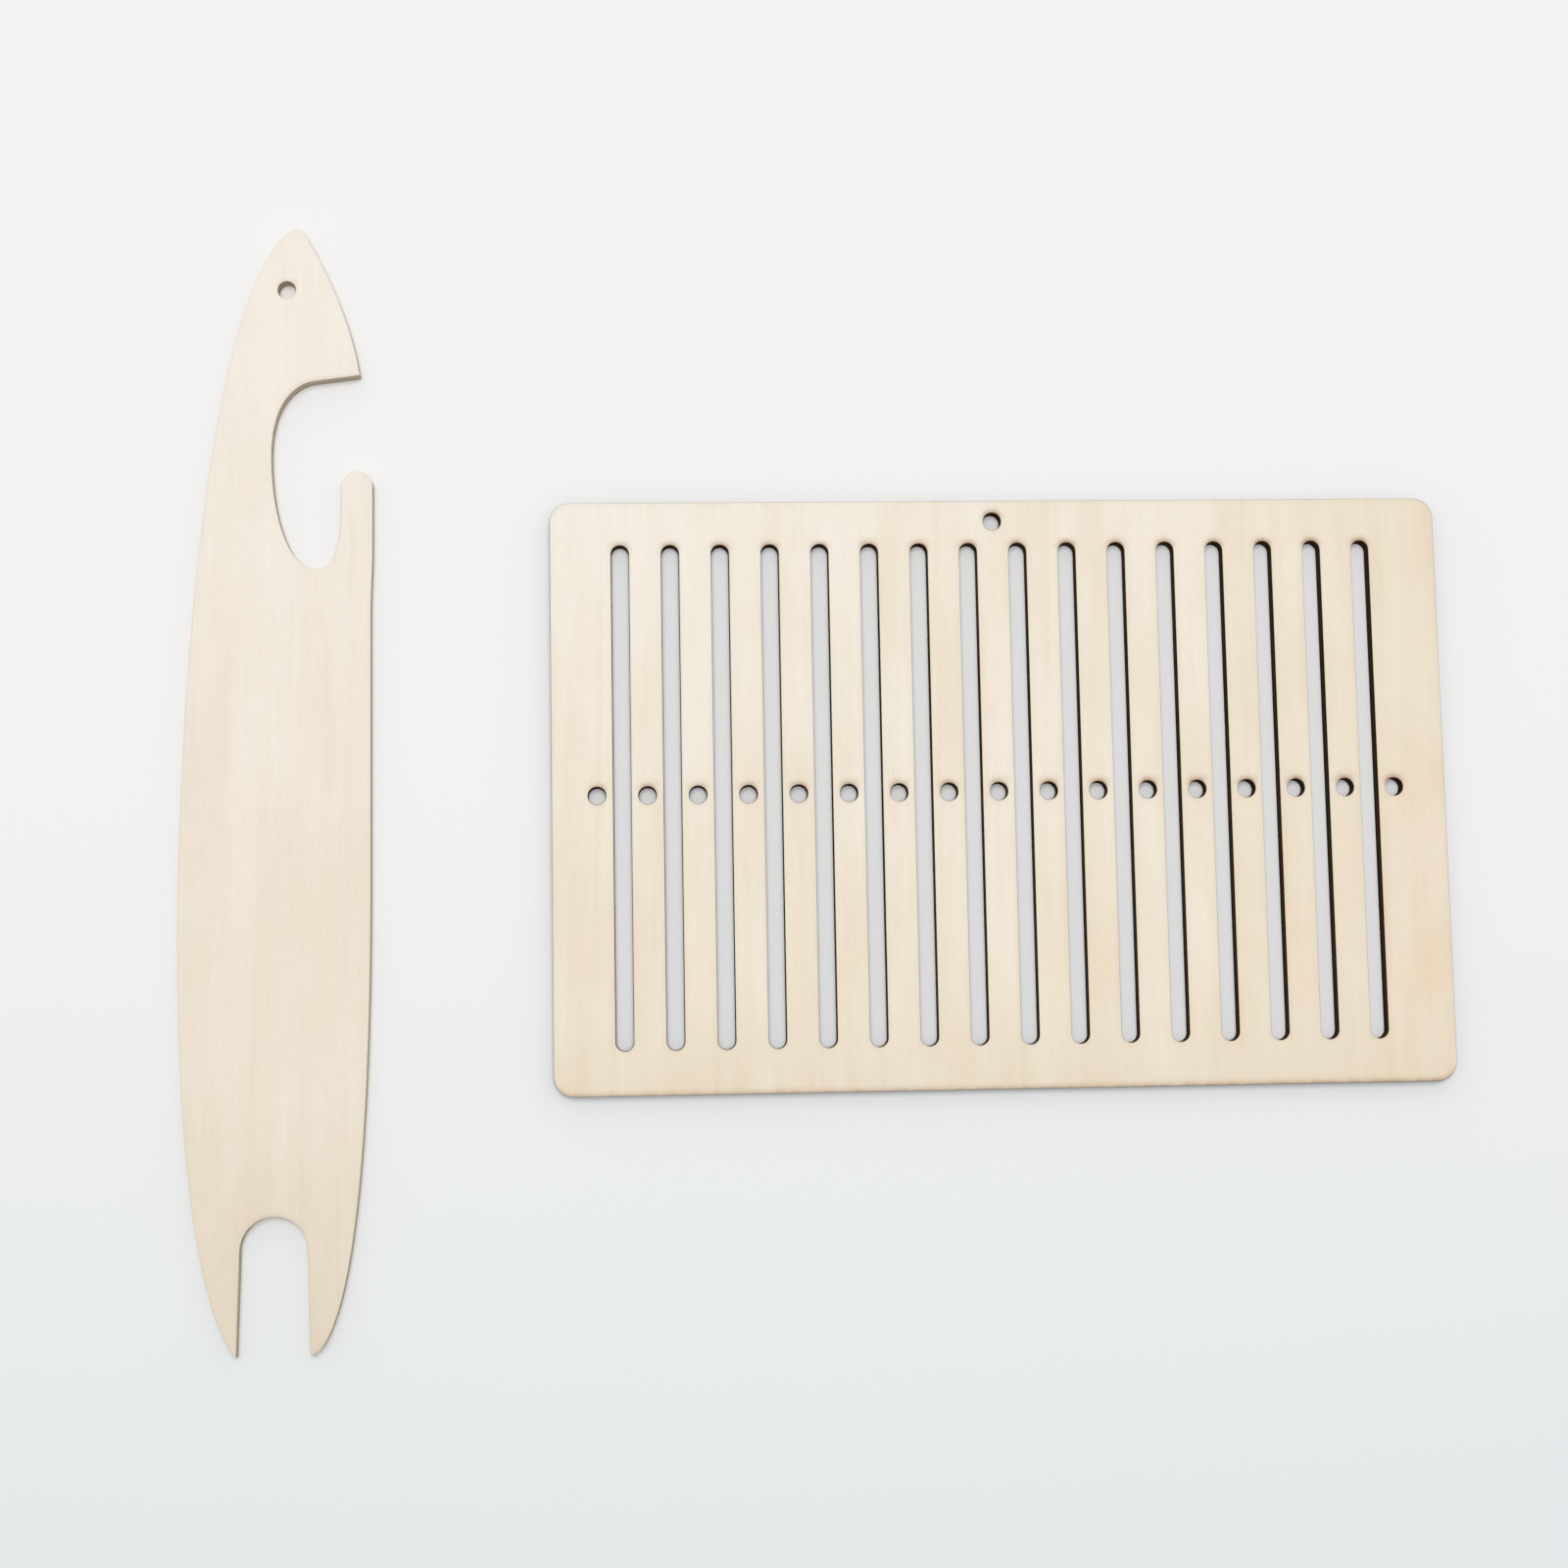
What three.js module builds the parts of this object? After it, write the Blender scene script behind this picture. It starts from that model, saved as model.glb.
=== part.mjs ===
import * as THREE from 'three';

// A weaver's rigid heddle and the forked shuttle that goes with it. Each is one piece cut from
// thin plywood sheet, and the two lie side by side, flat on the plane z = 0. Millimetres, +Z up,
// with the origin under the middle of the pair.

const sheetThickness = 3;

// Rigid heddle: a plate of upright slots, with a round eye in each bar beside and between them.
const slotCount = 16;
const slotPitch = 10.05;
const slotWidth = 3.65;
const slotLength = 101.2;
const eyeDiameter = 3.7;
const leftMargin = 9;             // outermost eye's centre to the plate's left edge
const rightMargin = 10.4;
const endMargin = 8.7;            // solid wood above and below the slots
const plateCornerRadius = 4;
const hangingHoleDiameter = 3.7;
const hangingHoleDrop = 4.3;      // hole centre below the plate's top edge

// Shuttle. Widths are measured across from the middle of its fork, drops down from its nose and
// rises up from its tails, so the head and the fork keep their form at any length.
const shuttleLength = 224.2;
const backReach = 19;             // furthest reach of the bowed back
const backReachRise = 87.1;
const flankReach = 18.6;          // straight flank on the other side
const flankTaperRise = 92.1;      // below here the flank curves in to its tail
const flankFlareDrop = 80.1;      // above here the flank flares out into the finger
const flareLength = 16;

// Head: a round nose with a thread eye under it, and a barb that hangs over the notch.
const noseOffset = 3.6;           // nose centre, off the fork's middle
const noseRadius = 2;
const noseRoundFlank = 60;        // degrees of nose round on the barb's side of its tip
const noseRoundBack = 40;         // degrees of nose round on the back's side
const threadEyeOffset = 1.8;
const threadEyeDrop = 12.7;
const threadEyeDiameter = 3.7;
const barbInset = 2.55;           // barb's point, in from the finger's outer side
const barbDrop = 30.35;
const barbHeading = 98;           // the head's edge leaves the barb at this angle, in degrees
const undersideLength = 9.3;      // straight underside of the barb, from its point to its root
const undersideSlope = 7.4;       // degrees that it falls towards the root

// Finger and notch: yarn is hooked under the barb and round behind the finger.
const fingerWidth = 6.2;
const fingerFlare = 0.35;         // how far the finger stands outside the straight flank
const fingerDrop = 50.1;
const fingerStraight = 4;         // straight inner side below the finger's round top
const notchWidth = 13.9;          // finger's inner side to the throat's deepest point
const throatDrop = 46.6;
const notchFloorInset = 5.15;     // lowest point of the notch, in from the finger
const notchFloorDrop = 69.9;

// Forked tail.
const forkRadius = 6.6;
const forkDepth = 26.8;
const forkDraft = 0.55;           // each fork wall leans out by this much at the tails
const backTailWidth = 0.2;        // end of the tail below the bowed back, cut almost to a point
const backTailHeading = 126;      // that tail's outer side leaves its end at this angle
const flankTailWidth = 1.7;
const flankTailRise = 1;          // this tail's end slants up from the fork to its outer side
const flankTailHeading = 50;

// Pulls: how far each curved edge reaches along its end directions before it bends away.
const noseToBarbPull = 10;
const barbToNosePull = 10;
const noseToBackPull = 25;
const backToNosePull = 17;
const backToTailPull = 40;
const tailToBackPull = 14.5;
const flankToTailPull = 46;
const tailToFlankPull = 11.2;
const fingerToFloorPull = 11.7;
const floorToFingerPull = 2.2;
const floorToThroatPull = 4.9;
const throatToFloorPull = 13.1;
const throatToRootPull = 12.5;
const rootToThroatPull = 2;

// How the pair lies.
const gapBetween = 35.3;          // finger's outer side to the heddle's left edge
const heddleDrop = 4;             // heddle's middle below the shuttle's mid length

const plywood = { roughness: 0.72, metalness: 0 };
const heddleColour = 0xeadbc2;
const shuttleColour = 0xf0e4d2;

// Steps of each kind of round or curve, set so that no facet strays 0.05 mm from it.
const holeSteps = 24;
const slotEndSteps = 10;
const cornerSteps = 8;
const noseSteps = 10;
const fingerSteps = 12;
const forkSteps = 16;
const longSideSteps = 28;
const taperSteps = 20;
const notchSteps = 14;
const flareSteps = 4;

const up = 90;
const down = 270;
const left = 180;
const right = 0;

const radians = (degrees) => (degrees * Math.PI) / 180;
const point = (x, y) => new THREE.Vector2(x, y);

// The point at some distance from another, in a direction given in degrees.
function along(start, heading, distance) {
  const angle = radians(heading);
  return point(start.x + distance * Math.cos(angle), start.y + distance * Math.sin(angle));
}

// Points on a circular arc, from one angle to another in degrees, both ends included.
function arc(centre, radius, from, to, steps) {
  return Array.from({ length: steps + 1 }, (_, i) => (
    along(centre, from + ((to - from) * i) / steps, radius)
  ));
}

// Points on the cubic curve that leaves one point in one direction and comes in to another from
// a second direction, each direction as it is seen from its own end.
function sweep(start, startHeading, startPull, end, endHeading, endPull, steps) {
  return new THREE.CubicBezierCurve(
    start,
    along(start, startHeading, startPull),
    along(end, endHeading, endPull),
    end,
  ).getPoints(steps);
}

// A closed outline from its runs of points, without the points where one run repeats another.
function outline(...runs) {
  const points = runs.flat();
  const tiny = 1e-4;
  return points.filter((p, i) => p.distanceTo(points[(i + 1) % points.length]) > tiny);
}

function roundHole(x, y, diameter) {
  const circle = arc(point(x, y), diameter / 2, 0, 360, holeSteps);
  return new THREE.Path(outline(circle));
}

// A slot with round ends, upright, centred on x.
function uprightSlot(x, width, length) {
  const radius = width / 2;
  const reach = length / 2 - radius;
  return new THREE.Path([
    ...arc(point(x, reach), radius, 0, 180, slotEndSteps),
    ...arc(point(x, -reach), radius, 180, 360, slotEndSteps),
  ]);
}

// A rectangle with round corners, centred on the origin.
function roundedPlate(width, height, radius) {
  const x = width / 2 - radius;
  const y = height / 2 - radius;
  return new THREE.Shape([
    ...arc(point(x, y), radius, 0, 90, cornerSteps),
    ...arc(point(-x, y), radius, 90, 180, cornerSteps),
    ...arc(point(-x, -y), radius, 180, 270, cornerSteps),
    ...arc(point(x, -y), radius, 270, 360, cornerSteps),
  ]);
}

const plateWidth = leftMargin + slotCount * slotPitch + rightMargin;
const plateHeight = slotLength + 2 * endMargin;

function heddleShape() {
  const plate = roundedPlate(plateWidth, plateHeight, plateCornerRadius);
  const eyeX = (i) => leftMargin - plateWidth / 2 + i * slotPitch;
  for (let i = 0; i < slotCount; i += 1) {
    plate.holes.push(uprightSlot(eyeX(i) + slotPitch / 2, slotWidth, slotLength));
  }
  for (let i = 0; i <= slotCount; i += 1) {
    plate.holes.push(roundHole(eyeX(i), 0, eyeDiameter));
  }
  const middleBarX = eyeX(Math.floor(slotCount / 2));
  const hangingHoleY = plateHeight / 2 - hangingHoleDrop;
  plate.holes.push(roundHole(middleBarX, hangingHoleY, hangingHoleDiameter));
  return plate;
}

// Corners and centres that the shuttle's edges share.
const noseY = shuttleLength / 2;
const tailY = -shuttleLength / 2;
const fingerX = flankReach + fingerFlare;
const fingerInnerX = fingerX - fingerWidth;
const noseCentre = point(noseOffset, noseY - noseRadius);
const barbPoint = point(fingerX - barbInset, noseY - barbDrop);
const undersideHeading = 180 + undersideSlope;
const barbRoot = along(barbPoint, undersideHeading, undersideLength);
const throat = point(fingerInnerX - notchWidth, noseY - throatDrop);
const notchFloor = point(fingerInnerX - notchFloorInset, noseY - notchFloorDrop);
const belly = point(-backReach, tailY + backReachRise);
const forkMouth = forkRadius + forkDraft;
const backTail = point(-forkMouth - backTailWidth, tailY);
const flankTail = point(forkMouth + flankTailWidth, tailY + flankTailRise);

// The straight flank, from its tail up to the finger's shoulder.
function flankEdge(shoulderY) {
  const taperTop = point(flankReach, tailY + flankTaperRise);
  const flareFoot = point(flankReach, noseY - flankFlareDrop);
  const flareTop = point(fingerX, Math.min(flareFoot.y + flareLength, shoulderY));
  const flarePull = (flareTop.y - flareFoot.y) / 2;
  return [
    ...sweep(flankTail, flankTailHeading, tailToFlankPull, taperTop, down, flankToTailPull, taperSteps),
    ...sweep(flareFoot, up, flarePull, flareTop, down, flarePull, flareSteps),
  ];
}

// The notch, from the finger's inner side down to its floor, up its throat and out to the barb.
function notchEdge(shoulderY) {
  const innerFoot = point(fingerInnerX, shoulderY - fingerStraight);
  return [
    ...sweep(innerFoot, down, fingerToFloorPull, notchFloor, right, floorToFingerPull, notchSteps),
    ...sweep(notchFloor, left, floorToThroatPull, throat, down, throatToFloorPull, notchSteps),
    ...sweep(throat, up, throatToRootPull, barbRoot, undersideHeading, rootToThroatPull, notchSteps),
    barbPoint,
  ];
}

// The head from the barb up round the nose, then the bowed back down to its tail. The nose's
// round ends where the two sides leave it square to its radius.
function headAndBackEdge() {
  const flankSide = 90 - noseRoundFlank;
  const backSide = 90 + noseRoundBack;
  const noseFlankEnd = along(noseCentre, flankSide, noseRadius);
  const noseBackEnd = along(noseCentre, backSide, noseRadius);
  return [
    ...sweep(
      barbPoint, barbHeading, barbToNosePull,
      noseFlankEnd, flankSide - 90, noseToBarbPull, notchSteps,
    ),
    ...arc(noseCentre, noseRadius, flankSide, backSide, noseSteps),
    ...sweep(
      noseBackEnd, backSide + 90, noseToBackPull,
      belly, up, backToNosePull, longSideSteps,
    ),
    ...sweep(
      belly, down, backToTailPull,
      backTail, backTailHeading, tailToBackPull, taperSteps,
    ),
  ];
}

function shuttleShape() {
  const fingerRadius = fingerWidth / 2;
  const shoulderY = noseY - fingerDrop - fingerRadius;
  const fingerCentre = point(fingerX - fingerRadius, shoulderY);
  const forkCentre = point(0, tailY + forkDepth - forkRadius);
  const shape = new THREE.Shape(outline(
    flankEdge(shoulderY),
    arc(fingerCentre, fingerRadius, 0, 180, fingerSteps),
    notchEdge(shoulderY),
    headAndBackEdge(),
    [point(-forkMouth, tailY)],
    arc(forkCentre, forkRadius, 180, 0, forkSteps),
    [point(forkMouth, tailY)],
  ));
  shape.holes.push(roundHole(threadEyeOffset, noseY - threadEyeDrop, threadEyeDiameter));
  return shape;
}

// One flat piece of sheet, named, lying on z = 0 with its own middle at x and y.
function sheetPiece(name, shape, colour, x, y) {
  const geometry = new THREE.ExtrudeGeometry(shape, {
    depth: sheetThickness,
    bevelEnabled: false,
    curveSegments: 1,
  });
  const material = new THREE.MeshStandardMaterial({ color: colour, ...plywood });
  const mesh = new THREE.Mesh(geometry, material);
  mesh.name = name;
  mesh.position.set(x, y, 0);
  return mesh;
}

const pairWidth = backReach + fingerX + gapBetween + plateWidth;
const heddleX = (pairWidth - plateWidth) / 2;
const shuttleX = backReach - pairWidth / 2;

const weavingTools = new THREE.Group();
weavingTools.add(sheetPiece('rigid_heddle', heddleShape(), heddleColour, heddleX, -heddleDrop));
weavingTools.add(sheetPiece('stick_shuttle', shuttleShape(), shuttleColour, shuttleX, 0));

export default weavingTools;
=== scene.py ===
import math
import bpy
import numpy as np
from mathutils import Matrix, Vector
from mathutils.geometry import delaunay_2d_cdt


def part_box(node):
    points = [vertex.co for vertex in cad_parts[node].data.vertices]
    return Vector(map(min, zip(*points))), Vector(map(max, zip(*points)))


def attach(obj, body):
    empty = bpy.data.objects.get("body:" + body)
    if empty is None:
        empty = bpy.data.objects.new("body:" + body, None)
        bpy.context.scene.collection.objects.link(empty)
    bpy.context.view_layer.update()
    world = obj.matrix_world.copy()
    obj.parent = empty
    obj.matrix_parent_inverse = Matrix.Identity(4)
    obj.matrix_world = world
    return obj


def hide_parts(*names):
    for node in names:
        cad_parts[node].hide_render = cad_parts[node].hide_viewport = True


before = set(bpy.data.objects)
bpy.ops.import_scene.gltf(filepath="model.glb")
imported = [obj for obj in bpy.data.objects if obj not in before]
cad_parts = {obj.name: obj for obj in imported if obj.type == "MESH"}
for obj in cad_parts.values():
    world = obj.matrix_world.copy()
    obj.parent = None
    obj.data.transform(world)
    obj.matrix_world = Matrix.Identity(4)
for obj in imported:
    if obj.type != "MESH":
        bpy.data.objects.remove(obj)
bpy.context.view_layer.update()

# A weaver's rigid heddle and its forked shuttle, both laser-cut from thin three-ply birch.
# Lengths are in metres. The pair lies flat, and the grain of both runs along Y.

scene = bpy.context.scene
mm = 0.001
tiny = 1e-9                                    # a length that counts as none
up, left, down, right = 90, 180, 270, 0        # headings in degrees


# Outlines

# A point some distance from another: start + distance * (cos heading, sin heading).
def along(start, heading, distance):
    angle = math.radians(heading)
    return np.array((start[0] + distance * math.cos(angle), start[1] + distance * math.sin(angle)))


# A circular arc: centre + radius * (cos a, sin a), with a running evenly between two angles.
def arcRun(centre, radius, fromAngle, toAngle, steps=96):
    angle = np.radians(np.linspace(fromAngle, toAngle, steps + 1))
    return np.asarray(centre) + radius * np.column_stack((np.cos(angle), np.sin(angle)))


# A cubic Bezier curve: the sum of its four corners, each times its Bernstein weight in t.
# The two inner corners lie at a pull from each end, in the direction seen from that end.
def sweepRun(start, startHeading, startPull, end, endHeading, endPull, steps=160):
    t = np.linspace(0, 1, steps + 1)[:, None]
    weights = np.hstack(((1 - t) ** 3, 3 * t * (1 - t) ** 2, 3 * t * t * (1 - t), t ** 3))
    corners = (start, along(start, startHeading, startPull), along(end, endHeading, endPull), end)
    return weights @ np.array(corners)


# What the laser leaves at every cut
laserCut = {
    "beamRadius": 0.13 * mm,
    "outerLean": (0, -0.03 * mm),       # how far a wall reaches into the air at its foot and at its top
    "innerLean": (0.1 * mm, 0),
    "topArris": 0.05 * mm,
    "bottomArris": 0.04 * mm,
    "faceVeneer": 0.27,                 # each face veneer's share of the thickness
    "coreWaste": 0.03 * mm,             # the core burns back this far behind the face veneers
    "glueStep": 0.1 * mm,               # the wall steps back over this far above and below a glue line
    "tipShare": 0.7,                    # the most of the room in a thin tip that the section takes
    "fineStep": 0.02 * mm,              # between an outline's points before they are thinned
    "turnStep": math.radians(9),        # the most that a thinned outline turns from point to point
}


# A closed outline as it comes off the laser, with the air on its right: the runs are joined and
# spaced evenly, blurred along their length by the beam's radius, so that no corner is sharper than
# the beam, and thinned so that points lie closest where the edge turns. Where a tip is too thin for
# the whole edge section, the section shrinks to fit: the room at a point is the radius of the
# largest circle that touches it from inside, the least gap^2 / (2 * gap . inward) to any other.
def cutRing(runs, spacing, lean):
    points = np.vstack(runs)
    points = points[np.linalg.norm(points - np.roll(points, 1, 0), axis=1) > tiny]
    closed = np.vstack((points, points[:1]))
    run = np.concatenate(((0.0,), np.cumsum(np.linalg.norm(np.diff(closed, axis=0), axis=1))))
    count = int(run[-1] / laserCut["fineStep"])
    at = np.arange(count) * run[-1] / count

    # a point is x + iy here, so that one transform blurs both
    even = np.interp(at, run, closed[:, 0]) + 1j * np.interp(at, run, closed[:, 1])
    waves = np.fft.fftfreq(count, run[-1] / count)
    blur = np.exp(-2 * (np.pi * laserCut["beamRadius"] * waves) ** 2)
    cut = np.fft.ifft(np.fft.fft(even) * blur)
    heading = np.roll(cut, -1) - np.roll(cut, 1)
    heading /= np.abs(heading)
    turn = np.abs(np.angle(np.roll(heading, -1) / heading))

    # each kept point takes one share of the spacing and the turning
    effort = np.concatenate(((0.0,), np.cumsum(run[-1] / count / spacing + turn / laserCut["turnStep"])))
    wanted = np.arange(int(np.ceil(effort[-1]))) * effort[-1] / np.ceil(effort[-1])
    place = np.interp(wanted, effort, np.arange(count + 1))
    wrap = np.arange(count + 1) % count
    points = np.interp(place, np.arange(count + 1), cut[wrap])
    air = np.interp(place, np.arange(count + 1), (-1j * heading)[wrap])
    air /= np.abs(air)

    gap = points[None] - points[:, None]
    inward = -(gap * air.conj()[:, None]).real
    circles = np.where(inward > tiny, np.abs(gap) ** 2 / (2 * np.maximum(inward, tiny)), np.inf)
    deepest = laserCut["topArris"] + laserCut["coreWaste"]
    return {
        "points": np.column_stack((points.real, points.imag)),
        "air": np.column_stack((air.real, air.imag)),
        "fit": np.minimum(1, laserCut["tipShare"] * circles.min(1) / deepest),
        "lean": lean,
    }


# The section across a cut edge, from the top face to the bottom one: a quarter round at the top
# arris, the leaning wall with its hollowed core, and a smaller quarter round at the bottom. Its
# normals are square to the slope at each row, and straight up and down on the two faces.
def edgeSection(thickness, lean):
    top, bottom = laserCut["topArris"], laserCut["bottomArris"]
    lowerGlue = laserCut["faceVeneer"] * thickness
    upperGlue = thickness - lowerGlue
    step = laserCut["glueStep"]
    topTurn = np.radians((90, 60, 30, 0))
    bottomTurn = np.radians((0, -45, -90))
    wall = np.array((upperGlue + step, upperGlue - step, thickness / 2, lowerGlue + step, lowerGlue - step))
    waste = np.array((0, 1, 1, 1, 0)) * laserCut["coreWaste"]
    height = np.concatenate((
        thickness - top + top * np.sin(topTurn), wall, bottom + bottom * np.sin(bottomTurn)))
    reach = np.concatenate((top * (np.cos(topTurn) - 1), -waste, bottom * (np.cos(bottomTurn) - 1)))
    reach += lean[0] + (lean[1] - lean[0]) * height / thickness
    rise = np.gradient(height)
    out = np.gradient(reach)
    length = np.hypot(rise, out)
    outward, upward = -rise / length, out / length
    outward[[0, -1]] = 0
    upward[[0, -1]] = 1, -1
    return reach, height, outward, upward


# How far points lie from the nearest cut, the heading there from the cut to the point, and whether
# the point is in the wood. The nearest spot on a straight piece of a ring is start + t * span, with
# t = gap . span / span^2 kept within 0..1.
def cutField(points, rings):
    pointsAtOnce = 400        # keeps each table of distances small
    start = np.vstack([ring["points"] for ring in rings])
    span = np.vstack([np.roll(ring["points"], -1, 0) - ring["points"] for ring in rings])
    air = np.vstack([ring["air"] for ring in rings])
    squaredSpan = (span ** 2).sum(1)
    distance, away, inside = [], [], []
    for part in np.array_split(points, max(1, len(points) // pointsAtOnce)):
        gapX = part[:, 0:1] - start[:, 0]
        gapY = part[:, 1:2] - start[:, 1]
        t = np.clip((gapX * span[:, 0] + gapY * span[:, 1]) / squaredSpan, 0, 1)
        gapX -= t * span[:, 0]
        gapY -= t * span[:, 1]
        squaredGap = gapX ** 2 + gapY ** 2
        near = squaredGap.argmin(1)
        row = np.arange(len(part))
        gap = np.column_stack((gapX[row, near], gapY[row, near]))
        distance.append(np.sqrt(squaredGap[row, near]))
        away.append(gap / np.maximum(np.linalg.norm(gap, axis=1), tiny)[:, None])
        inside.append((gap * air[near]).sum(1) < 0)
    return np.concatenate(distance), np.vstack(away), np.concatenate(inside)


# How both faces are filled, closer beside the cuts so that the scorch can follow them
face = {
    "lattice": 1.5 * mm,
    "latticeClear": 1.35 * mm,              # the lattice keeps this far from every cut
    "beside": (0.38 * mm, 0.8 * mm),        # extra points lie this far from each cut
    "besideShare": 0.93,                    # and at least this share of it from every other cut
}


# The points between the cuts: a triangular lattice, whose rows lie step * sqrt(3/4) apart with every
# second one shifted by half a step, and each ring once more at each distance beside it.
def facePoints(rings):
    edge = np.vstack([ring["points"] for ring in rings])
    low, high = edge.min(0), edge.max(0)
    step = face["lattice"]
    column, row = np.meshgrid(
        np.arange(low[0], high[0], step), np.arange(low[1], high[1], step * math.sqrt(0.75)))
    shift = (np.arange(len(row)) % 2)[:, None] * step / 2
    lattice = np.column_stack(((column + shift).ravel(), row.ravel()))
    sets = [lattice]
    nearest = [face["latticeClear"]]
    for reach in face["beside"]:
        sets.append(np.vstack([ring["points"] - ring["air"] * reach for ring in rings]))
        nearest.append(reach * face["besideShare"])
    kept = []
    for points, least in zip(sets, nearest):
        distance, _, inside = cutField(points, rings)
        kept.append(points[inside & (distance > least)])
    return np.vstack(kept)


# The edge section carried round a ring, each row at ring + air * reach * fit. Its vertices go row by
# row from the top down, and their numbers come back as a table of rows and columns.
def ringWall(ring, thickness, firstNumber):
    reach, height, outward, upward = edgeSection(thickness, ring["lean"])
    points, air = ring["points"], ring["air"]
    rows, columns = len(reach), len(points)
    grid = points[None] + air[None] * (reach[:, None] * ring["fit"])[:, :, None]
    vertices = np.dstack((grid, np.repeat(height[:, None], columns, 1))).reshape(-1, 3)
    normals = np.dstack((
        air[None] * outward[:, None, None], np.repeat(upward[:, None], columns, 1))).reshape(-1, 3)
    numbers = firstNumber + np.arange(rows * columns).reshape(rows, columns)
    beside = np.roll(numbers, -1, 1)
    quads = np.dstack((numbers[:-1], numbers[1:], beside[1:], beside[:-1])).reshape(-1, 4)
    return vertices, normals, numbers, quads


# The triangles that fill a sheet, where the rings' points come first, one ring after another, and
# the outline's before the holes'. What has all three corners on one hole's ring lies in that hole.
def fillSheet(points, ringSizes):
    insideOnly = 1        # the kind of filling that leaves out what lies beyond the outline
    starts = np.cumsum([0, *ringSizes])
    border = np.vstack([
        start + np.column_stack((np.arange(size), np.roll(np.arange(size), -1)))
        for start, size in zip(starts, ringSizes)])
    corners = [Vector(point) for point in points.tolist()]
    filled = delaunay_2d_cdt(corners, border.tolist(), [], insideOnly, tiny)
    triangles = np.array(filled[2])
    belongs = np.full(len(points), -1)
    for order, (start, size) in enumerate(zip(starts, ringSizes)):
        belongs[start:start + size] = order
    owner = belongs[triangles]
    inHole = (owner[:, 0] > 0) & (owner[:, 0] == owner[:, 1]) & (owner[:, 1] == owner[:, 2])
    return triangles[~inHole]


# A smooth mesh from whole arrays. Its materials are the top face's, the walls' and the underside's.
def meshFrom(name, vertices, wall, top, underside, materials):
    flat = np.vstack((top, underside))
    mesh = bpy.data.meshes.new(name)
    mesh.vertices.add(len(vertices))
    mesh.vertices.foreach_set("co", vertices.ravel())
    mesh.loops.add(wall.size + flat.size)
    mesh.loops.foreach_set("vertex_index", np.concatenate((wall.ravel(), flat.ravel())).astype(np.int32))
    mesh.polygons.add(len(wall) + len(flat))
    loopStart = np.concatenate((np.arange(len(wall)) * 4, wall.size + np.arange(len(flat)) * 3))
    mesh.polygons.foreach_set("loop_start", loopStart.astype(np.int32))
    skins = np.repeat((1, 0, 2), (len(wall), len(top), len(underside)))
    mesh.polygons.foreach_set("material_index", skins.astype(np.int32))
    mesh.polygons.foreach_set("use_smooth", np.ones(len(loopStart), bool))
    mesh.update(calc_edges=True)
    mesh.validate()
    for material in materials:
        mesh.materials.append(material)
    print(name, "has", len(vertices), "vertices and", 2 * len(wall) + len(flat), "triangles")
    return mesh


# The whole sheet, with its middle at a place: a wall round every ring, and both faces filled between
# the rings. What the scorch follows is stored at every point: the millimetres to the nearest cut,
# and how far up the sheet the smoke drifted, which is the Y of the heading from that cut.
def cutSheet(name, rings, thickness, place, materials):
    vertices, normals, tables, quads = [], [], [], []
    wallCount = 0
    for ring in rings:
        ringVertices, ringNormals, numbers, ringQuads = ringWall(ring, thickness, wallCount)
        vertices.append(ringVertices)
        normals.append(ringNormals)
        tables.append(numbers)
        quads.append(ringQuads)
        wallCount += numbers.size
    free = facePoints(rings)
    for level, side in ((thickness, 1), (0, -1)):
        vertices.append(np.column_stack((free, np.full(len(free), level))))
        normals.append(np.tile((0, 0, side), (len(free), 1)))
    vertices, normals = np.vstack(vertices), np.vstack(normals)

    # one filling serves both faces
    topFree = wallCount + np.arange(len(free))
    topNumbers = np.concatenate([numbers[0] for numbers in tables] + [topFree])
    undersideNumbers = np.concatenate([numbers[-1] for numbers in tables] + [topFree + len(free)])
    triangles = fillSheet(vertices[topNumbers, :2], [numbers.shape[1] for numbers in tables])
    top, underside = topNumbers[triangles], undersideNumbers[triangles[:, ::-1]]
    placed = vertices + np.array((place[0], place[1], 0))
    mesh = meshFrom(name, placed, np.vstack(quads), top, underside, materials)

    distance, away, _ = cutField(free, rings)
    cutDistance = np.concatenate((np.zeros(wallCount), distance, distance)) / mm
    for numbers in tables:
        cutDistance[numbers[0]] = laserCut["topArris"] / mm
    ringDrift = [np.tile(-ring["air"][:, 1], len(numbers)) for ring, numbers in zip(rings, tables)]
    smokeDrift = np.concatenate((*ringDrift, away[:, 1], away[:, 1]))
    for label, values in (("cutDistance", cutDistance), ("smokeDrift", smokeDrift)):
        stored = mesh.attributes.new(label, "FLOAT", "POINT")
        stored.data.foreach_set("value", values.astype(np.float32))
    mesh.normals_split_custom_set_from_vertices(normals.tolist())
    piece = bpy.data.objects.new(name, mesh)
    scene.collection.objects.link(piece)
    return piece


# Colours are written as 0..255 sRGB and turned linear for Blender: ((c + 0.055) / 1.055) ^ 2.4, or
# c / 12.92 where c is at most 0.04045.
def paint(red, green, blue):
    share = np.array((red, green, blue)) / 255
    linear = np.where(share <= 0.04045, share / 12.92, ((share + 0.055) / 1.055) ** 2.4)
    return (*linear.tolist(), 1.0)


# Shader helpers

# A socket is linked to what another node puts out, or set to a value.
def feed(tree, socket, value):
    if isinstance(value, bpy.types.NodeSocket):
        tree.links.new(value, socket)
    else:
        socket.default_value = value


# One math node on up to three values.
def calc(tree, operation, first, second=0.0, third=0.0, clamp=False):
    node = tree.nodes.new("ShaderNodeMath")
    node.operation = operation
    node.use_clamp = clamp
    for socket, value in zip(node.inputs, (first, second, third)):
        feed(tree, socket, value)
    return node.outputs[0]


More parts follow.
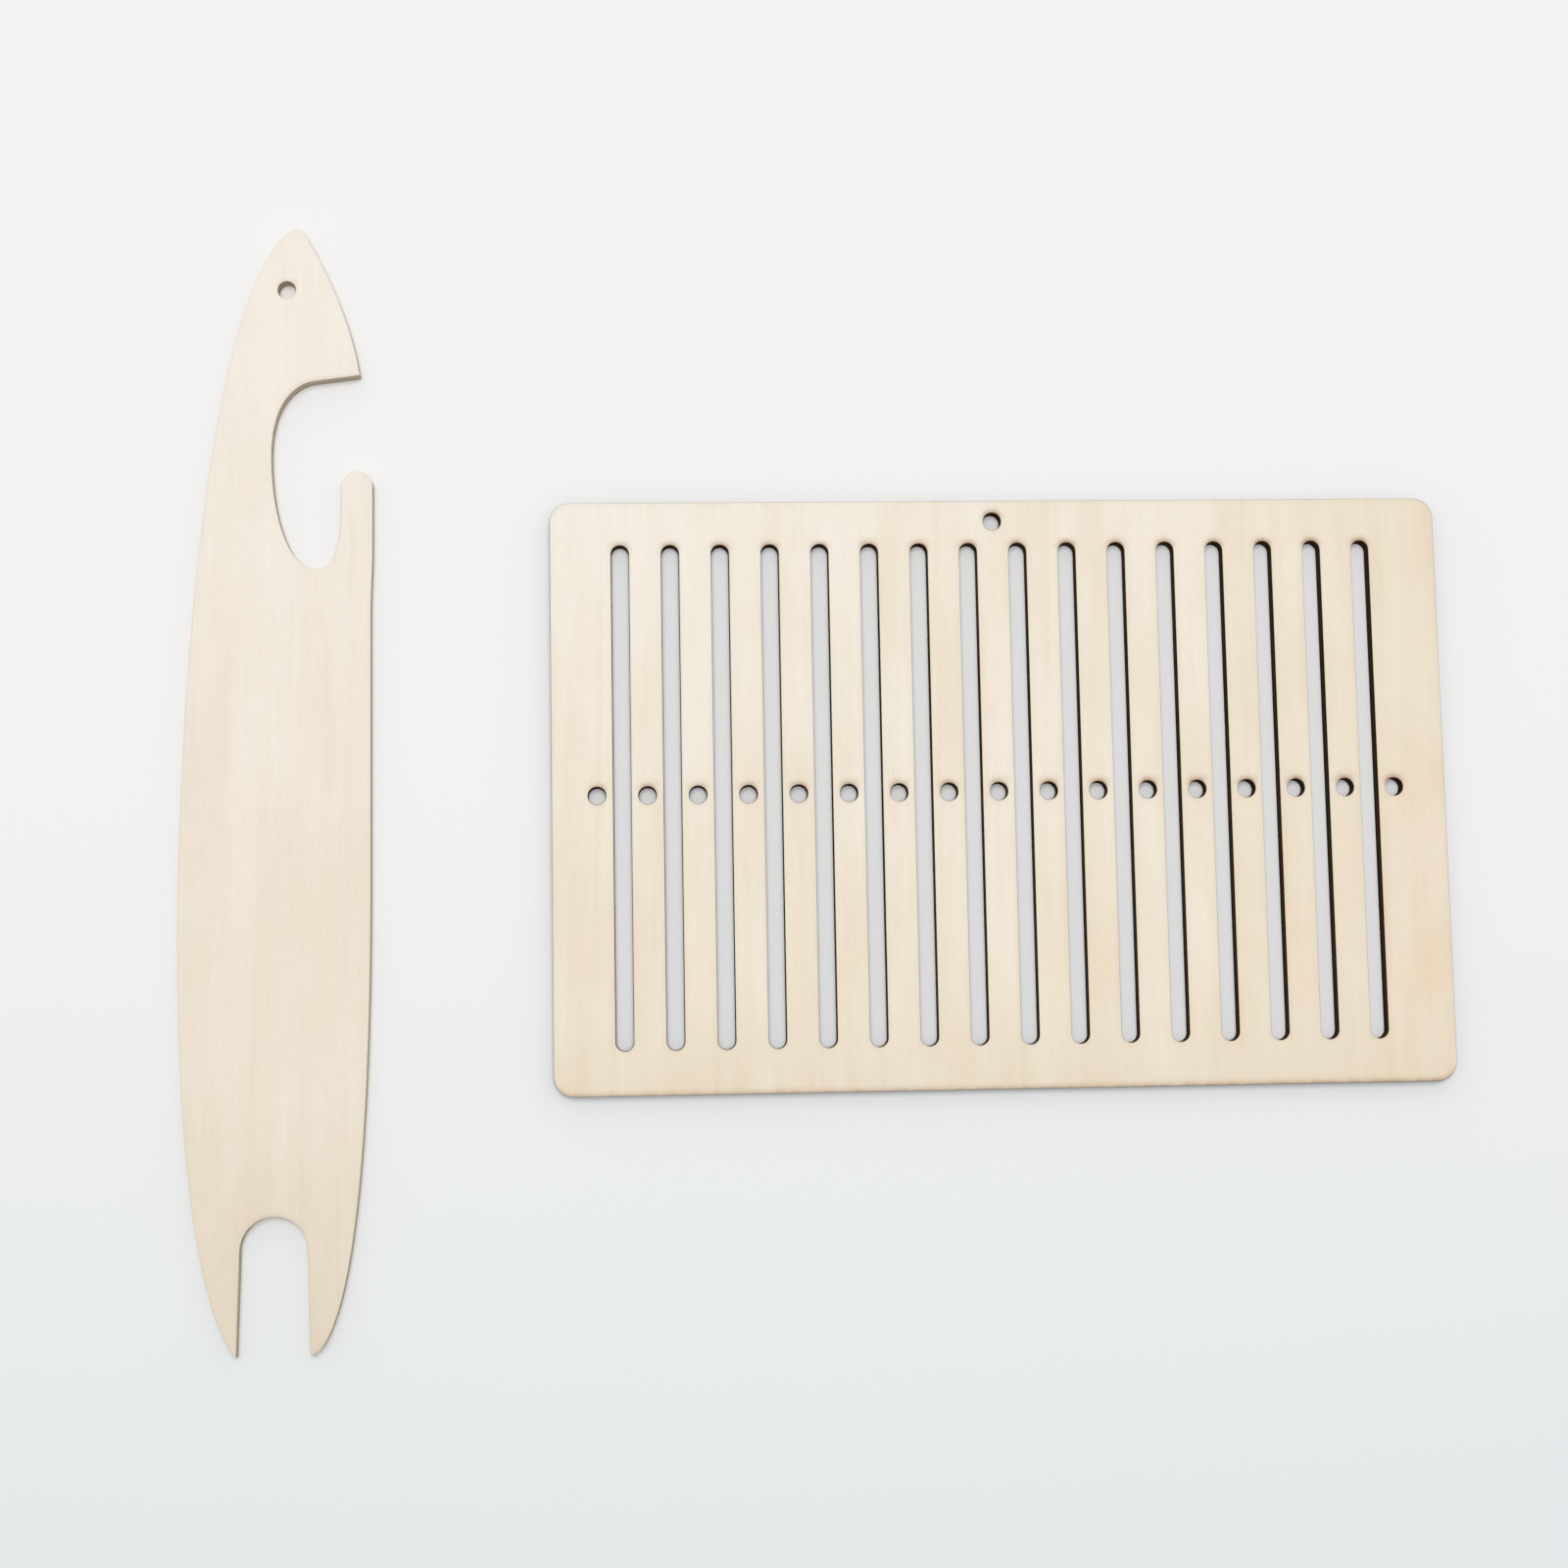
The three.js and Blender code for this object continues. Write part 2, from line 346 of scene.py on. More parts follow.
# vector * scale + shift
def stretch(tree, vector, scale, shift=(0, 0, 0)):
    node = tree.nodes.new("ShaderNodeMapping")
    feed(tree, node.inputs["Vector"], vector)
    node.inputs["Scale"].default_value = scale
    node.inputs["Location"].default_value = shift
    return node.outputs["Vector"]


# Noise around 0.5. Its mark is its scale per metre across the grain, along it and through the
# sheet, then its detail and its roughness.
def mottle(tree, vector, mark, shift=(0, 0, 0)):
    scale, detail, roughness = mark
    node = tree.nodes.new("ShaderNodeTexNoise")
    feed(tree, node.inputs["Vector"], stretch(tree, vector, scale, shift))
    node.inputs["Scale"].default_value = 1.0
    node.inputs["Detail"].default_value = detail
    node.inputs["Roughness"].default_value = roughness
    return node.outputs[0]


# toLow + (toHigh - toLow) * t, where t = (value - low) / (high - low) is kept within 0..1 and, if
# smooth, eased to t^2 * (3 - 2t).
def spread(tree, value, low, high, toLow=0.0, toHigh=1.0, smooth=True):
    node = tree.nodes.new("ShaderNodeMapRange")
    node.interpolation_type = "SMOOTHSTEP" if smooth else "LINEAR"
    for socket, setting in zip(node.inputs, (value, low, high, toLow, toHigh)):
        feed(tree, socket, setting)
    return node.outputs["Result"]


# first * (1 - factor) + second * factor. The way MULTIPLY puts first * second in second's place.
def blend(tree, factor, first, second, way="MIX"):
    node = tree.nodes.new("ShaderNodeMix")
    node.data_type = "RGBA"
    node.blend_type = way
    for order, value in ((0, factor), (6, first), (7, second)):        # its colour sockets are 6 and 7
        feed(tree, node.inputs[order], value)
    return node.outputs[2]


# A value stored at the mesh's points.
def attribute(tree, name):
    node = tree.nodes.new("ShaderNodeAttribute")
    node.attribute_name = name
    return node.outputs["Fac"]


# A vector's X, Y and Z.
def split(tree, vector):
    node = tree.nodes.new("ShaderNodeSeparateXYZ")
    feed(tree, node.inputs[0], vector)
    return node.outputs


# A vector or a colour from its three parts.
def join(tree, kind, parts):
    node = tree.nodes.new(kind)
    for socket, value in zip(node.inputs, parts):
        feed(tree, socket, value)
    return node.outputs[0]


# One vector math node: a length or a dot product comes out at Value, the rest at Vector.
def vectorCalc(tree, operation, first, second=(0, 0, 0)):
    node = tree.nodes.new("ShaderNodeVectorMath")
    node.operation = operation
    feed(tree, node.inputs[0], first)
    feed(tree, node.inputs[1], second)
    return node.outputs


# An empty node group with named sockets, given as (name, socket type, default).
def makeGroup(name, inputs, outputs):
    tree = bpy.data.node_groups.new(name, "ShaderNodeTree")
    for label, kind, default in inputs:
        socket = tree.interface.new_socket(name=label, in_out="INPUT", socket_type=kind)
        if default is not None:
            socket.default_value = default
    for label, kind in outputs:
        tree.interface.new_socket(name=label, in_out="OUTPUT", socket_type=kind)
    entry = tree.nodes.new("NodeGroupInput")
    leave = tree.nodes.new("NodeGroupOutput")
    return tree, entry.outputs, leave.inputs


# A group placed in a material, with its own values.
def useGroup(tree, group, values):
    node = tree.nodes.new("ShaderNodeGroup")
    node.node_tree = group
    for label, value in values.items():
        feed(tree, node.inputs[label], value)
    return node.outputs


# Nearly all of a noise's values lie in here
noiseSpan = (0.3, 0.7)

# The grain's marks and how strong they are
birch = {
    "sway": ((9, 6, 300), 1, 0.5),
    "swayReach": 8 * mm,                    # how far the grain wanders sideways
    "band": ((130, 7, 400), 3, 0.55),
    "bandSpan": (0.32, 0.68),
    "cloud": ((75, 38, 400), 2, 0.5),
    "streak": ((820, 26, 400), 2, 0.6),
    "streakShare": 0.45,
    "fibre": ((4600, 130, 400), 2, 0.6),
    "fibreShare": 0.55,
    "pore": ((6500, 620, 400), 0, 0.5),
    "poreSpan": (0.68, 0.76),               # only the highest noise makes a pore
    "poreShade": 0.04,
    "poreDent": 4,
    "line": ((260, 2.5, 400), 1, 0.4),
    "lineSpan": (0.62, 0.74),               # or a line
    "lineShift": (7.3, 0, 0),
    "greenFall": 1.25,                      # powers that make the dark marks warmer than grey
    "blueFall": 1.7,
}


# Birch veneer, peeled round the log: nearly plain, with soft bands along the grain, finer streaks,
# hair-thin fibres, short dark pores and a few honey-coloured lines. The tint runs from pale to honey,
# and the shade that multiplies it is 1 - (0.5 - fine) * contrast - pores.
def makeBirchGrain():
    tree, given, result = makeGroup("birchGrain", (
        ("Vector", "NodeSocketVector", None),
        ("Pale", "NodeSocketColor", paint(243, 234, 219)),
        ("Honey", "NodeSocketColor", paint(233, 214, 182)),
        ("Band Contrast", "NodeSocketFloat", 0.5),
        ("Fibre Contrast", "NodeSocketFloat", 0.5),
        ("Honey Lines", "NodeSocketFloat", 0.3),
        ("Tint", "NodeSocketFloat", 0.3),
    ), (("Color", "NodeSocketColor"), ("Height", "NodeSocketFloat")))
    place = given["Vector"]
    sway = calc(tree, "SUBTRACT", mottle(tree, place, birch["sway"]), 0.5)
    aside = join(tree, "ShaderNodeCombineXYZ", (calc(tree, "MULTIPLY", sway, birch["swayReach"]), 0.0, 0.0))
    grain = vectorCalc(tree, "ADD", place, aside)["Vector"]
    band = mottle(tree, grain, birch["band"])
    cloud = mottle(tree, grain, birch["cloud"])
    streak = mottle(tree, grain, birch["streak"])
    fibre = mottle(tree, grain, birch["fibre"])
    pore = mottle(tree, grain, birch["pore"])
    line = mottle(tree, grain, birch["line"], birch["lineShift"])

    # bands and clouds sway the tint between pale and honey
    bands = spread(tree, band, *birch["bandSpan"], -0.5, 0.5)
    clouds = spread(tree, cloud, *noiseSpan, -0.5, 0.5)
    sides = calc(tree, "ADD", bands, clouds)
    tint = calc(tree, "MULTIPLY_ADD", sides, given["Band Contrast"], given["Tint"])
    honeyLine = calc(tree, "MULTIPLY", spread(tree, line, *birch["lineSpan"]), given["Honey Lines"])
    tint = calc(tree, "ADD", tint, honeyLine, clamp=True)
    color = blend(tree, tint, given["Pale"], given["Honey"])

    # fibres and pores only darken
    streaks = calc(tree, "MULTIPLY", streak, birch["streakShare"])
    fine = calc(tree, "ADD", streaks, calc(tree, "MULTIPLY", fibre, birch["fibreShare"]))
    shade = calc(tree, "MULTIPLY", calc(tree, "SUBTRACT", 0.5, fine), given["Fibre Contrast"])
    pores = calc(tree, "MULTIPLY", spread(tree, pore, *birch["poreSpan"]), birch["poreShade"])
    light = calc(tree, "SUBTRACT", calc(tree, "SUBTRACT", 1.0, shade), pores)
    green = calc(tree, "POWER", light, birch["greenFall"])
    blue = calc(tree, "POWER", light, birch["blueFall"])
    warmShade = join(tree, "ShaderNodeCombineColor", (light, green, blue))
    feed(tree, result["Color"], blend(tree, 1.0, color, warmShade, "MULTIPLY"))
    dents = calc(tree, "MULTIPLY", pores, birch["poreDent"])
    feed(tree, result["Height"], calc(tree, "SUBTRACT", fine, dents))
    return tree


# How unevenly a cut's scorch lies beside it
scorch = {
    "patch": ((420, 260, 300), 3, 0.6),
    "patchRange": (0.72, 1.2),              # how far the patches weaken and strengthen it
    "driftSpan": (0.1, 1.0),                # the drift at which it is weakest and strongest
    "driftAway": 0.09,                      # its share where the smoke drifted the other way
    "rimFall": 3.0,                         # per millimetre
}


# The laser's heat beside a cut: a thin singed rim and a wider smoke stain, both strongest where the
# smoke drifted up the sheet. With the distance d from the cut in millimetres, the rim fades as
# exp(-rimFall * d) and the smoke as exp(-(d / reach)^2), both broken up by patches.
def makeLaserScorch():
    tree, given, result = makeGroup("laserScorch", (
        ("Color", "NodeSocketColor", None),
        ("Vector", "NodeSocketVector", None),
        ("Toast", "NodeSocketColor", paint(196, 150, 98)),
        ("Singed", "NodeSocketColor", paint(62, 46, 28)),
        ("Rim", "NodeSocketFloat", 0.5),
        ("Smoke", "NodeSocketFloat", 0.35),
        ("Smoke Reach", "NodeSocketFloat", 0.75),
    ), (("Color", "NodeSocketColor"),))
    distance = attribute(tree, "cutDistance")
    drift = attribute(tree, "smokeDrift")
    patches = mottle(tree, given["Vector"], scorch["patch"])
    uneven = spread(tree, patches, *noiseSpan, *scorch["patchRange"])
    upwind = spread(tree, drift, *scorch["driftSpan"], scorch["driftAway"], 1.0)
    rim = calc(tree, "EXPONENT", calc(tree, "MULTIPLY", distance, -scorch["rimFall"]))
    rim = calc(tree, "MULTIPLY", rim, upwind)
    rim = calc(tree, "MULTIPLY", calc(tree, "MULTIPLY", rim, given["Rim"]), uneven, clamp=True)
    steps = calc(tree, "DIVIDE", distance, given["Smoke Reach"])
    smoke = calc(tree, "EXPONENT", calc(tree, "MULTIPLY", calc(tree, "MULTIPLY", steps, steps), -1.0))
    smoke = calc(tree, "MULTIPLY", calc(tree, "MULTIPLY", smoke, upwind), given["Smoke"])
    smoke = calc(tree, "MULTIPLY", smoke, uneven, clamp=True)
    stained = blend(tree, smoke, given["Color"], given["Toast"])
    feed(tree, result["Color"], blend(tree, rim, stained, given["Singed"]))
    return tree


# How the plies and the burn lie on a cut's wall
charring = {
    "ragged": ((900, 900, 500), 2, 0.6),
    "raggedReach": 0.05,                    # how far the plies wander, as a share of the thickness
    "coreFade": (-0.03, 0.01),              # the core's colour ends over this share round the glue
    "glueFade": (0.015, 0.05),              # from a glue line's middle to where it is full and gone
    "pulse": ((6500, 6500, 60), 2, 0.65),
    "scallop": ((900, 900, 90), 1, 0.5),
    "scallopShare": 0.4,
    "singeFade": 2.2,                       # how many singe depths down the singe has gone
    "singeRagged": 0.12,
}


# The charred wall of a cut through three plies: dark glue lines, a browner core, a paler zone
# under the top arris where the beam went in, and fine upright striations from its pulses. The depth
# that sorts them is height / thickness, and the plies lie by its distance from the middle, 0.5.
def makeCharredPly():
    tree, given, result = makeGroup("charredPly", (
        ("Vector", "NodeSocketVector", None),
        ("Thickness", "NodeSocketFloat", 3 * mm),
        ("Char", "NodeSocketColor", paint(70, 52, 38)),
        ("Core", "NodeSocketColor", paint(96, 72, 50)),
        ("Glue", "NodeSocketColor", paint(38, 28, 22)),
        ("Singe", "NodeSocketColor", paint(176, 138, 96)),
        ("Singe Depth", "NodeSocketFloat", 0.12),
        ("Striation", "NodeSocketFloat", 0.2),
    ), (("Color", "NodeSocketColor"), ("Height", "NodeSocketFloat")))
    place = given["Vector"]
    ragged = calc(tree, "SUBTRACT", mottle(tree, place, charring["ragged"]), 0.5)
    depth = calc(tree, "DIVIDE", split(tree, place)["Z"], given["Thickness"])
    depth = calc(tree, "ADD", depth, calc(tree, "MULTIPLY", ragged, charring["raggedReach"]))
    fromMiddle = calc(tree, "ABSOLUTE", calc(tree, "SUBTRACT", depth, 0.5))
    glueAt = 0.5 - laserCut["faceVeneer"]
    coreStart, coreEnd = charring["coreFade"]
    core = spread(tree, fromMiddle, glueAt + coreStart, glueAt + coreEnd, 1.0, 0.0)
    fromGlue = calc(tree, "ABSOLUTE", calc(tree, "SUBTRACT", fromMiddle, glueAt))
    glue = spread(tree, fromGlue, *charring["glueFade"], 1.0, 0.0)
    pulses = mottle(tree, place, charring["pulse"])
    scallop = mottle(tree, place, charring["scallop"])
    singeDepth = calc(tree, "MULTIPLY", given["Singe Depth"], charring["singeFade"])
    singeRagged = calc(tree, "MULTIPLY", calc(tree, "SUBTRACT", pulses, 0.5), charring["singeRagged"])
    singeHeight = calc(tree, "ADD", depth, singeRagged)
    singe = spread(tree, singeHeight, calc(tree, "SUBTRACT", 1.0, singeDepth), 1.0)
    color = blend(tree, core, given["Char"], given["Core"])
    color = blend(tree, glue, color, given["Glue"])
    color = blend(tree, singe, color, given["Singe"])
    wide = charring["scallopShare"]
    scallops = spread(tree, scallop, *noiseSpan, -wide, wide)
    stripes = calc(tree, "ADD", spread(tree, pulses, *noiseSpan, -1, 1), scallops)
    light = calc(tree, "MULTIPLY_ADD", stripes, given["Striation"], 1.0)
    grey = join(tree, "ShaderNodeCombineColor", (light, light, light))
    feed(tree, result["Color"], blend(tree, 1.0, color, grey, "MULTIPLY"))
    feed(tree, result["Height"], pulses)
    return tree


birchGrain = makeBirchGrain()
laserScorch = makeLaserScorch()
charredPly = makeCharredPly()


# A new material, with its tree, its shader and the place on the piece that its patterns follow.
def newMaterial(name):
    material = bpy.data.materials.new(name)
    material.use_nodes = True
    tree = material.node_tree
    shader = tree.nodes["Principled BSDF"]
    place = tree.nodes.new("ShaderNodeTexCoord").outputs["Object"]
    return material, tree, shader, place


# The normal of a surface raised by height * depth, a share of the way there.
def bumpFrom(tree, height, share, depth):
    node = tree.nodes.new("ShaderNodeBump")
    node.inputs["Strength"].default_value = share
    node.inputs["Distance"].default_value = depth
    feed(tree, node.inputs["Height"], height)
    return node.outputs["Normal"]


# The finish that both tools share
veneerFinish = {
    "roughness": (0.74, 0.62),              # in the hollows of the grain and on its crests
    "sheen": 0.3,
    "bump": 0.35,
    "bumpDepth": 0.06 * mm,
}
cutFinish = {
    "roughness": 0.82,
    "bump": 0.6,
    "bumpDepth": 0.05 * mm,
}


# The sanded face of the sheet. Its tint from pale to honey is tint + x * tintShadeToRight + y *
# tintShadeToTop
# + x * y * tintShadeTwist + (x^2 + y^2) * tintShadeToCorners: the wood's own tone, and painted shade where
# the light falls off towards the bottom, the right and the corners. Its smoke stain is smoke + x *
# smokeToRight, which also scales its singed rim. Towards the near end its colour is multiplied by
# paintedShadeTone, painted shade where the light falls off there, and its smoke by nearEndSmoke, at the
# first Y of shadeAndSmokeSpan, and by 1 from the second.
def veneerMaterial(name, look):
    material, tree, shader, place = newMaterial(name)
    seed = stretch(tree, place, (1, 1, 1), look["seed"])
    x, y, _ = split(tree, place)
    # the tint's slopes across the face are partly the wood's own tone and partly painted shade, darker
    # where the light falls off
    tint = calc(tree, "MULTIPLY_ADD", x, look["tintShadeToRight"], look["tint"])
    tint = calc(tree, "MULTIPLY_ADD", y, look["tintShadeToTop"], tint)
    tint = calc(tree, "MULTIPLY_ADD", calc(tree, "MULTIPLY", x, y), look["tintShadeTwist"], tint)
    squared = vectorCalc(tree, "DOT_PRODUCT", place, place)["Value"]
    tint = calc(tree, "MULTIPLY_ADD", squared, look["tintShadeToCorners"], tint)
    # painted shade: the near end's colour is darkened where the light falls off, and its smoke is weakened
    # there
    pastShadedEnd = spread(tree, y, *look["shadeAndSmokeSpan"], smooth=False)
    nearEndSmokeShare = spread(tree, pastShadedEnd, 0.0, 1.0, look["nearEndSmoke"], 1.0, smooth=False)
    smoke = calc(tree, "MULTIPLY_ADD", x, look["smokeToRight"], look["smoke"])
    smoke = calc(tree, "MULTIPLY", smoke, nearEndSmokeShare)
    grain = useGroup(tree, birchGrain, {
        "Vector": seed, "Pale": look["pale"], "Honey": look["honey"],
        "Band Contrast": look["bandContrast"], "Fibre Contrast": look["fibreContrast"],
        "Honey Lines": look["honeyLines"], "Tint": tint,
    })
    burnt = useGroup(tree, laserScorch, {
        "Color": grain["Color"], "Vector": seed, "Toast": look["toast"], "Singed": look["singed"],
        "Rim": calc(tree, "MULTIPLY", smoke, look["rim"]), "Smoke": smoke,
        "Smoke Reach": look["smokeReach"],
    })
    nearEndShade = blend(tree, pastShadedEnd, look["paintedShadeTone"], (1, 1, 1, 1))
    feed(tree, shader.inputs["Base Color"], blend(tree, 1.0, burnt["Color"], nearEndShade, "MULTIPLY"))
    roughness = spread(tree, grain["Height"], *noiseSpan, *veneerFinish["roughness"])
    feed(tree, shader.inputs["Roughness"], roughness)
    shader.inputs["Specular IOR Level"].default_value = veneerFinish["sheen"]
    bump = bumpFrom(tree, grain["Height"], veneerFinish["bump"], veneerFinish["bumpDepth"])
    feed(tree, shader.inputs["Normal"], bump)
    return material


# The wall that the laser left.
def cutMaterial(name, look):
    material, tree, shader, place = newMaterial(name)
    wall = useGroup(tree, charredPly, {
        "Vector": place, "Thickness": look["thickness"], "Char": look["char"], "Core": look["core"],
        "Glue": look["glue"], "Singe": look["singe"], "Singe Depth": look["singeDepth"],
        "Striation": look["striation"],
    })
    feed(tree, shader.inputs["Base Color"], wall["Color"])
    shader.inputs["Roughness"].default_value = cutFinish["roughness"]
    shader.inputs["Specular IOR Level"].default_value = look["sheen"]
    bump = bumpFrom(tree, wall["Height"], cutFinish["bump"], cutFinish["bumpDepth"])
    feed(tree, shader.inputs["Normal"], bump)
    return material


# Rigid heddle: upright slots with a round eye in each bar beside and between them
heddle = {
    "slotCount": 16,
    "slotPitch": 10.05 * mm,
    "slotWidth": 3.65 * mm,
    "slotLength": 101.2 * mm,
    "eyeDiameter": 3.7 * mm,
    "leftMargin": 9 * mm,             # outermost eye's centre to the plate's left edge
    "cornerRadius": 4 * mm,
    "hangingHoleDiameter": 3.7 * mm,
    "hangingHoleDrop": 4.3 * mm,      # hole centre below the top edge
    "spacing": 2 * mm,                # between points on the straight edges
}
heddleLook = {
    "seed": (0.31, 0.12, 0),
    "pale": paint(244, 237, 223),
    "honey": paint(234, 216, 188),
    "tint": 0.32,
    # the tint's slopes below are partly painted shade: the face darker towards the bottom, the right and
    # the corners, where the light falls off
    "tintShadeToRight": 1.0,
    "tintShadeToTop": -3.8,
    "tintShadeTwist": 25.0,
    "tintShadeToCorners": 12.0,
    "bandContrast": 0.26,
    "fibreContrast": 0.12,
    "honeyLines": 0.12,
    "toast": paint(200, 154, 104),
    "singed": paint(62, 46, 28),
    "rim": 1.3,
    "smoke": 0.42,
    "smokeToRight": 1.2,
    "smokeReach": 0.9,
    # painted shade: the near end's colour darkened where the light falls off, and its smoke weakened there
    "paintedShadeTone": (0.965, 0.96, 0.945, 1),
    "nearEndSmoke": 0.75,
    "shadeAndSmokeSpan": (-0.063, -0.045),
}
heddleUnderside = {**heddleLook, "seed": (0.57, 0.33, 0), "tint": 0.5, "smoke": 0.6}
heddleCutLook = {
    "thickness": 3 * mm,
    "char": paint(40, 24, 6),
    "core": paint(66, 43, 18),
    "glue": paint(17, 9, 3),
    "singe": paint(110, 82, 46),
    "singeDepth": 0.09,
    "striation": 0.22,
    "sheen": 0.06,
}


# A slot: two half circles joined by straight sides, taken clockwise so that the air is inside.
def slotRun(x, width, length):
    reach = length / 2 - width / 2
    return [arcRun((x, reach), width / 2, 180, 0), arcRun((x, -reach), width / 2, 0, -180)]


# A round hole, taken clockwise too.
def holeRun(x, y, diameter):
    return [arcRun((x, y), diameter / 2, 360, 0)]


# The heddle's outline, its slots, its eyes and its hanging hole: eye number n has its centre at
# leftMargin + n * slotPitch from the left edge, and each slot is halfway between two eyes.
def heddleRings(low, high):
    width, height = high[0] - low[0], high[1] - low[1]
    radius = heddle["cornerRadius"]
    farX, farY = width / 2 - radius, height / 2 - radius
    plate = [
        arcRun((farX, farY), radius, 0, 90), arcRun((-farX, farY), radius, 90, 180),
        arcRun((-farX, -farY), radius, 180, 270), arcRun((farX, -farY), radius, 270, 360),
    ]
    spacing, lean = heddle["spacing"], laserCut["innerLean"]
    eyeX = heddle["leftMargin"] - width / 2 + heddle["slotPitch"] * np.arange(heddle["slotCount"] + 1)
    rings = [cutRing(plate, spacing, laserCut["outerLean"])]
    for x in eyeX[:-1] + heddle["slotPitch"] / 2:
        rings.append(cutRing(slotRun(x, heddle["slotWidth"], heddle["slotLength"]), spacing, lean))
    for x in eyeX:
        rings.append(cutRing(holeRun(x, 0, heddle["eyeDiameter"]), spacing, lean))
    hangingY = height / 2 - heddle["hangingHoleDrop"]
    hangingX = eyeX[heddle["slotCount"] // 2]
    rings.append(cutRing(holeRun(hangingX, hangingY, heddle["hangingHoleDiameter"]), spacing, lean))
    return rings


# Shuttle: widths are measured across from the middle of its fork, drops down from its nose and
# rises up from its tails
shuttle = {
    "backReach": 19 * mm,             # furthest reach of the bowed back
    "backReachRise": 87.1 * mm,
    "flankReach": 18.6 * mm,
    "flankTaperRise": 92.1 * mm,      # below here the flank curves in to its tail
    "flankFlareDrop": 80.1 * mm,      # above here the flank flares out into the finger
    "flareLength": 16 * mm,
    "noseOffset": 3.6 * mm,
    "noseRadius": 2 * mm,
    "noseRoundFlank": 60,
    "noseRoundBack": 40,
    "threadEyeOffset": 1.8 * mm,
    "threadEyeDrop": 12.7 * mm,
    "threadEyeDiameter": 3.7 * mm,
    "barbInset": 2.55 * mm,
    "barbDrop": 30.35 * mm,
    "barbHeading": 98,
    "undersideLength": 9.3 * mm,
    "undersideSlope": 7.4,
    "fingerWidth": 6.2 * mm,
    "fingerFlare": 0.35 * mm,
    "fingerDrop": 50.1 * mm,
    "fingerStraight": 4 * mm,
    "notchWidth": 13.9 * mm,
    "throatDrop": 46.6 * mm,
    "notchFloorInset": 5.15 * mm,
    "notchFloorDrop": 69.9 * mm,
    "forkRadius": 6.6 * mm,
    "forkDepth": 26.8 * mm,
    "forkDraft": 0.55 * mm,
    "backTailWidth": 0.2 * mm,        # this tail is cut almost to a point
    "backTailHeading": 126,
    "flankTailWidth": 1.7 * mm,
    "flankTailRise": 1 * mm,          # this one's end slants up to its outer side
    "flankTailHeading": 50,
    "spacing": 0.8 * mm,
}
# how far each curved edge reaches along its end directions before it bends away
shuttlePull = {
    "noseToBarb": 10 * mm, "barbToNose": 10 * mm,
    "noseToBack": 25 * mm, "backToNose": 17 * mm,
    "backToTail": 40 * mm, "tailToBack": 14.5 * mm,
    "flankToTail": 46 * mm, "tailToFlank": 11.2 * mm,
    "fingerToFloor": 11.7 * mm, "floorToFinger": 2.2 * mm,
    "floorToThroat": 4.9 * mm, "throatToFloor": 13.1 * mm,
    "throatToRoot": 12.5 * mm, "rootToThroat": 2 * mm,
}
shuttleLook = {
    "seed": (0.74, 0.41, 0),
    "pale": paint(245, 239, 227),
    "honey": paint(233, 218, 196),
    "tint": 0.45,
    "tintShadeToRight": 0.0,
    # the tint's slope along Y is partly painted shade: the face darker towards the tails, where the light
    # falls off
    "tintShadeToTop": -3.2,
    "tintShadeTwist": 0.0,
    "tintShadeToCorners": 0.0,
    "bandContrast": 0.2,
    "fibreContrast": 0.12,
    "honeyLines": 0.12,
    "toast": paint(200, 160, 112),
    "singed": paint(150, 128, 98),
    "rim": 1.2,
    "smoke": 0.16,
    "smokeToRight": 0.0,
    "smokeReach": 0.7,
    # painted shade: the tails' colour darkened where the light falls off
    "paintedShadeTone": (0.915, 0.9, 0.87, 1),
    "nearEndSmoke": 1.0,
    "shadeAndSmokeSpan": (-0.112, -0.062),
}
shuttleUnderside = {**shuttleLook, "seed": (0.17, 0.83, 0), "tint": 0.55, "smoke": 0.5}
shuttleCutLook = {
    "thickness": 3 * mm,
    "char": paint(190, 176, 152),
    "core": paint(200, 186, 162),
    "glue": paint(160, 142, 116),
    "singe": paint(212, 196, 170),
    "singeDepth": 0.12,
    "striation": 0.07,
    "sheen": 0.25,
}


